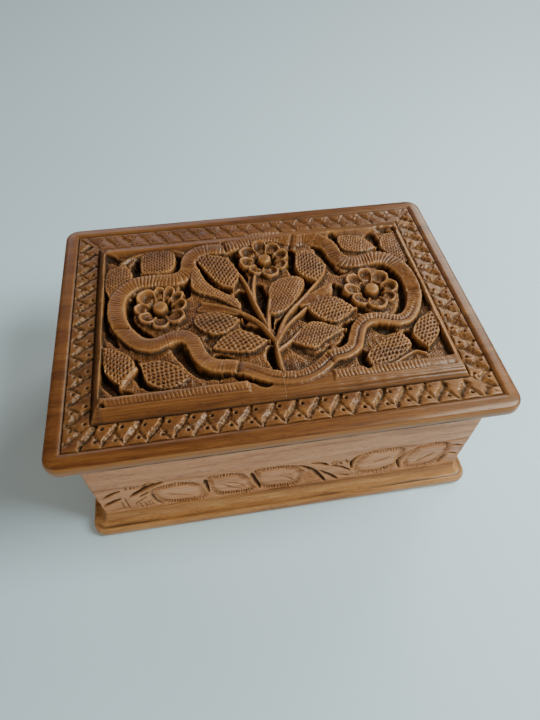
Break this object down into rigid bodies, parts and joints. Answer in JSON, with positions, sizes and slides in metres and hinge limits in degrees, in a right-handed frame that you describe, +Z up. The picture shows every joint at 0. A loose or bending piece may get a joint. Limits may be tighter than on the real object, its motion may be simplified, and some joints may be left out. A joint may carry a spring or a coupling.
{
  "type": "carved wooden box",
  "caption": "Rectangular hardwood keepsake box with a back-hinged lid carved in relief with flowers, leaves and a winding ribbon.",
  "frame": {"origin": "centre of the base board's underside", "axes": "+X along the long side, to the viewer's right; -Y is the front; +Z up"},
  "size_m": [0.1524, 0.1106, 0.0636],
  "materials": {
    "lid_wood": "waxed, satin",
    "wall_wood": "waxed, satin",
    "base_wood": "waxed, satin",
    "hinge_brass": "dull",
    "screw_brass": "dull",
    "pin_steel": "plain",
    "screw_steel": "plain"
  },
  "bodies": {
    "box": {"base_board": "base_wood", "front_wall": "wall_wood", "right_wall": "wall_wood", "back_wall": "wall_wood", "left_wall": "wall_wood", "base_screw_1": "screw_steel", "base_screw_2": "screw_steel", "base_screw_3": "screw_steel", "base_screw_4": "screw_steel", "base_screw_5": "screw_steel", "base_screw_6": "screw_steel", "left_hinge_wall_leaf": "hinge_brass", "left_hinge_pin": "pin_steel", "left_hinge_wall_screw_1": "screw_brass", "left_hinge_wall_screw_2": "screw_brass", "right_hinge_wall_leaf": "hinge_brass", "right_hinge_pin": "pin_steel", "right_hinge_wall_screw_1": "screw_brass", "right_hinge_wall_screw_2": "screw_brass"},
    "lid": {"lid_board": "lid_wood", "left_hinge_lid_leaf": "hinge_brass", "left_hinge_lid_screw_1": "screw_brass", "left_hinge_lid_screw_2": "screw_brass", "right_hinge_lid_leaf": "hinge_brass", "right_hinge_lid_screw_1": "screw_brass", "right_hinge_lid_screw_2": "screw_brass"}
  },
  "joints": [
    {"name": "lid_hinge", "type": "hinge", "parent": "box", "child": "lid", "pos_m": [0, 0.0509, 0.0552], "axis": [-1, 0, 0], "range_deg": [0, 112]}
  ]
}
